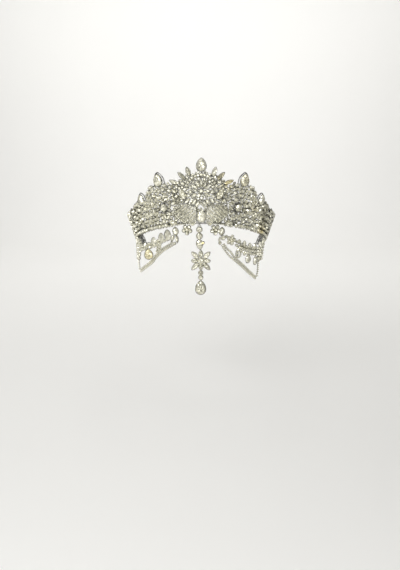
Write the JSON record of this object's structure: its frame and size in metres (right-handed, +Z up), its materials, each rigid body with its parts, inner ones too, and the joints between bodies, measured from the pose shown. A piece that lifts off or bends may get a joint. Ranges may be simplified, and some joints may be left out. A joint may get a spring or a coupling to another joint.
{
  "type": "bridal crown",
  "caption": "Openwork tiara crown set with clear stones, peaked at the front, with a swinging forehead pendant and a string drape at each temple.",
  "frame": {"origin": "the middle of the lower rail's ring, where the crown sits on the head; the ring is tilted front up by 21 degrees", "axes": "+Z up, the crown's front faces -Y, +X is to the viewer's right when looking at its front"},
  "size_m": [0.1872, 0.1266, 0.1487],
  "materials": {
    "silver_metal": "polished silver-coloured wire, slightly dulled",
    "crystal": "clear faceted stones with a silvered back",
    "set_stones": "small clear faceted stones in claw settings",
    "paved_stones": "tiny clear stones set close in silver-coloured metal",
    "cup_chain": "small clear square stones in linked silver-coloured cups"
  },
  "bodies": {
    "crown": {"big_round_left": "crystal", "big_round_right": "crystal", "centre_stone": "crystal", "crown_frame": "silver_metal", "dangle_flower_left": "set_stones", "dangle_flower_right": "set_stones", "drape_chain_left": "cup_chain", "drape_chain_right": "cup_chain", "drape_link_left": "crystal", "drape_link_right": "crystal", "drape_strand_left": "set_stones", "drape_strand_right": "set_stones", "edge_row_left": "set_stones", "edge_row_right": "set_stones", "fan_marquise_1_left": "crystal", "fan_marquise_1_right": "crystal", "fan_marquise_2_left": "crystal", "fan_marquise_2_right": "crystal", "fan_marquise_3_left": "crystal", "fan_marquise_3_right": "crystal", "flank_pear_left": "crystal", "flank_pear_right": "crystal", "flower_arch": "set_stones", "flower_hub": "crystal", "flower_petal_side_left": "crystal", "flower_petal_side_right": "crystal", "flower_petal_top": "crystal", "flower_petal_upper_left": "crystal", "flower_petal_upper_right": "crystal", "garland_drop_left": "crystal", "garland_drop_right_1": "crystal", "garland_drop_right_2": "crystal", "garland_left": "set_stones", "garland_right": "set_stones", "inner_spray_left": "set_stones", "inner_spray_right": "set_stones", "lower_petals_left": "crystal", "lower_petals_right": "crystal", "pave_wing_left": "paved_stones", "pave_wing_right": "paved_stones", "peak_1_pear_left": "crystal", "peak_1_pear_right": "crystal", "peak_1_spray_left": "set_stones", "peak_1_spray_right": "set_stones", "peak_2_pear_left": "crystal", "peak_2_pear_right": "crystal", "shoulder_spray_left": "set_stones", "shoulder_spray_right": "set_stones", "side_round_left": "crystal", "side_round_right": "crystal", "side_sprays_left": "set_stones", "side_sprays_right": "set_stones", "top_pear": "crystal"},
    "pendant": {"pendant_drop": "crystal", "pendant_oval_link": "crystal", "pendant_pear_link": "crystal", "pendant_round_1": "crystal", "pendant_round_2": "crystal", "pendant_star": "set_stones"}
  },
  "joints": [
    {"name": "pendant_swing", "type": "hinge", "parent": "crown", "child": "pendant", "pos_m": [-0.002, -0.0857, 0.0306], "axis": [1, 0, 0], "range_deg": [-35, 20]}
  ]
}
